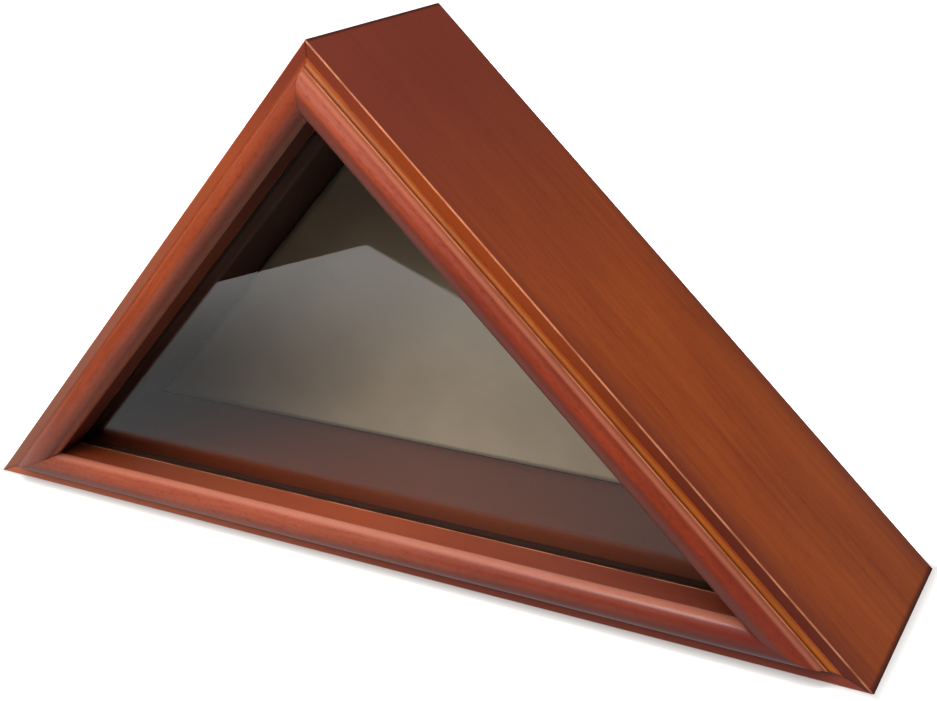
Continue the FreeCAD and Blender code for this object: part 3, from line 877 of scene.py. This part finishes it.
# %% Brass finish
def brass(name, bright, dull_and_shade):
    material, tree, shader = new_material(name, Metallic=1.0)
    where = object_place(tree)
    patches = stretched_noise(tree, where, (140.0, 140.0, 140.0), detail=4.0)
    scratches = stretched_noise(tree, where, (400.0, 400.0, 5200.0), detail=2.0)
    dulled = fade(tree, patches, 0.35, 0.65)
    feed(tree, shader.inputs["Base Color"], mix_colours(tree, dulled, bright, dull_and_shade))
    rub = calculate(tree, "MULTIPLY", scratches, 0.25)
    polish = fade(tree, patches, 0.3, 0.7, 0.18, 0.34)
    feed(tree, shader.inputs["Roughness"], calculate(tree, "ADD", polish, rub))
    bump(tree, shader, scratches, 0.01 * MM, 0.5)
    return material


button_labels = [f"turn_button_{side.name}_{number}" for side in SIDES for number in (1, 2)]
finish_with(brass("button_brass", tint(226, 186, 104), tint(186, 140, 70)), *button_labels)

# %% [markdown]
# ## Screws
# Each button turns on a small round-headed screw with a cross recess. They repeat, so Geometry Nodes
# make one and place it on six points. A cylinder is domed by moving its points, two crossed boxes cut
# the recess, and a cone is the shank in the board. Every screw is turned by its own random angle.

# %% Screws
BUTTON_SPACING = {"bottom": 200.0 * MM, "right": 130.0 * MM, "left": 130.0 * MM}
PIVOT_INSET = 4.1 * MM
screw_low, screw_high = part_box("turn_button_screws")
SCREW_SIZES = {"Head Radius": 2.3 * MM, "Head Height": 1.5 * MM, "Shank Radius": 1.2 * MM,
               "Shank Length": screw_high[1] - screw_low[1] - 1.6 * MM, "Slot Width": 0.62 * MM,
               "Slot Length": 2.7 * MM}
DOME_POWER, DOME_FALL, DOME_FROM = 2.4, -0.72, 0.2 * MM
SLOT_RISE, SHANK_DROP, TIP_RADIUS = 0.55, -0.4, 0.15 * MM
SCREW_SEED = 11
MERGE_DISTANCE = 0.002 * MM


def raised(tree, part, height, rotation=(0.0, 0.0, 0.0)):
    shift = add_node(tree, "ShaderNodeCombineXYZ", {2: height})
    return add_node(tree, "GeometryNodeTransform", {
        "Geometry": part, "Translation": shift.outputs[0], "Rotation": rotation}).outputs[0]


def slotted_head(tree, given):
    """A cylinder whose top falls away towards its rim, with two crossed boxes cut out of it."""
    head = add_node(tree, "GeometryNodeMeshCylinder", {
        "Vertices": 40, "Side Segments": 1, "Fill Segments": 7,
        "Radius": given["Head Radius"], "Depth": given["Head Height"]})
    spot = split_axes(tree, add_node(tree, "GeometryNodeInputPosition").outputs[0])
    flat = add_node(tree, "ShaderNodeCombineXYZ", {0: spot["X"], 1: spot["Y"], 2: 0.0})
    share = calculate(tree, "DIVIDE", length_of(tree, flat.outputs[0]), given["Head Radius"])
    fall = calculate(tree, "POWER", share, DOME_POWER)
    fall = calculate(tree, "MULTIPLY", fall, given["Head Height"])
    top = calculate(tree, "GREATER_THAN", spot["Z"], DOME_FROM)
    fall = calculate(tree, "MULTIPLY", calculate(tree, "MULTIPLY", fall, DOME_FALL), top)
    drop = add_node(tree, "ShaderNodeCombineXYZ", {2: fall})
    domed = add_node(tree, "GeometryNodeSetPosition", {
        "Geometry": head.outputs["Mesh"], "Offset": drop.outputs[0]})
    slotted = add_node(tree, "GeometryNodeMeshBoolean", {"Mesh 1": domed.outputs[0]},
                       operation="DIFFERENCE", solver="EXACT")
    rise = calculate(tree, "MULTIPLY", given["Head Height"], SLOT_RISE)
    for long_way, short_way in (("Slot Length", "Slot Width"), ("Slot Width", "Slot Length")):
        size = add_node(tree, "ShaderNodeCombineXYZ", {
            0: given[long_way], 1: given[short_way], 2: given["Head Height"]})
        box = add_node(tree, "GeometryNodeMeshCube", {"Size": size.outputs[0]})
        tree.links.new(raised(tree, box.outputs["Mesh"], rise), slotted.inputs["Mesh 2"])
    return slotted.outputs["Mesh"]


def tapered_shank(tree, given):
    shank = add_node(tree, "GeometryNodeMeshCone", {
        "Vertices": 20, "Side Segments": 10, "Radius Top": TIP_RADIUS,
        "Radius Bottom": given["Shank Radius"], "Depth": given["Shank Length"]})
    below = calculate(tree, "MULTIPLY", given["Head Height"], SHANK_DROP)
    return raised(tree, shank.outputs["Mesh"], below, (math.pi, 0.0, 0.0))


def screw_tree(material):
    tree = bpy.data.node_groups.new("screws", "GeometryNodeTree")
    tree.interface.new_socket("Geometry", in_out="INPUT", socket_type="NodeSocketGeometry")
    for label in SCREW_SIZES:
        tree.interface.new_socket(label, in_out="INPUT", socket_type=FLOAT)
    tree.interface.new_socket("Seed", in_out="INPUT", socket_type="NodeSocketInt")
    tree.interface.new_socket("Geometry", in_out="OUTPUT", socket_type="NodeSocketGeometry")
    given = tree.nodes.new("NodeGroupInput").outputs
    leave = tree.nodes.new("NodeGroupOutput").inputs

    screw = add_node(tree, "GeometryNodeJoinGeometry")
    for part in (slotted_head(tree, given), tapered_shank(tree, given)):
        tree.links.new(part, screw.inputs[0])
    angle = add_node(tree, "FunctionNodeRandomValue", {
        "Min": (0.0, 0.0, 0.0), "Max": (0.0, 0.0, math.pi), "Seed": given["Seed"]},
        data_type="FLOAT_VECTOR")
    spun = add_node(tree, "FunctionNodeEulerToRotation", {0: angle.outputs[0]})
    lay_back = add_node(tree, "FunctionNodeEulerToRotation", {0: (-math.pi / 2, 0.0, 0.0)})
    facing = add_node(tree, "FunctionNodeRotateRotation", {
        0: lay_back.outputs[0], 1: spun.outputs[0]}, rotation_space="LOCAL")
    placed = add_node(tree, "GeometryNodeInstanceOnPoints", {
        "Points": given["Geometry"], "Instance": screw.outputs[0], "Rotation": facing.outputs[0]})
    real = add_node(tree, "GeometryNodeRealizeInstances", {0: placed.outputs[0]})
    painted = add_node(tree, "GeometryNodeSetMaterial", {
        "Geometry": real.outputs[0], "Material": material})
    tree.links.new(painted.outputs[0], leave[0])
    return tree


def clean_mesh(mesh):
    """Merge the tiny scraps that the cutting leaves, which an export would find fault with."""
    bm = bmesh.new()
    bm.from_mesh(mesh)
    bmesh.ops.remove_doubles(bm, verts=bm.verts, dist=MERGE_DISTANCE)
    bmesh.ops.dissolve_degenerate(bm, edges=bm.edges, dist=MERGE_DISTANCE)
    bmesh.ops.recalc_face_normals(bm, faces=bm.faces)
    bm.to_mesh(mesh)
    bm.free()
    print("mesh needed repair:", mesh.validate())


def make_screws(material):
    head_middle = screw_high[1] - SCREW_SIZES["Head Height"] / 2
    spots = []
    for side in SIDES:
        for sign in (-1, 1):
            along = side.length / 2 + sign * BUTTON_SPACING[side.name] / 2
            spots.append(side.point(along, PIVOT_INSET, head_middle))
    points = bpy.data.meshes.new("screw_points")
    points.from_pydata(spots, [], [])
    carrier = add_object("screw_points", points)
    tree = screw_tree(material)
    modifier = carrier.modifiers.new("screws", "NODES")
    modifier.node_group = tree
    named = {item.name: item.identifier for item in tree.interface.items_tree
             if item.in_out == "INPUT"}
    for label, value in SCREW_SIZES.items():
        modifier[named[label]] = value
    modifier[named["Seed"]] = SCREW_SEED
    graph = bpy.context.evaluated_depsgraph_get()
    mesh = bpy.data.meshes.new_from_object(carrier.evaluated_get(graph))
    bpy.data.objects.remove(carrier)
    mesh.name = "screws"
    clean_mesh(mesh)
    return add_object("screws", mesh)


screws = make_screws(brass("screw_brass", tint(216, 178, 100), tint(166, 124, 62)))
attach(screws, "case")
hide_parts("turn_button_screws")
print("screws:", len(screws.data.polygons), "faces")
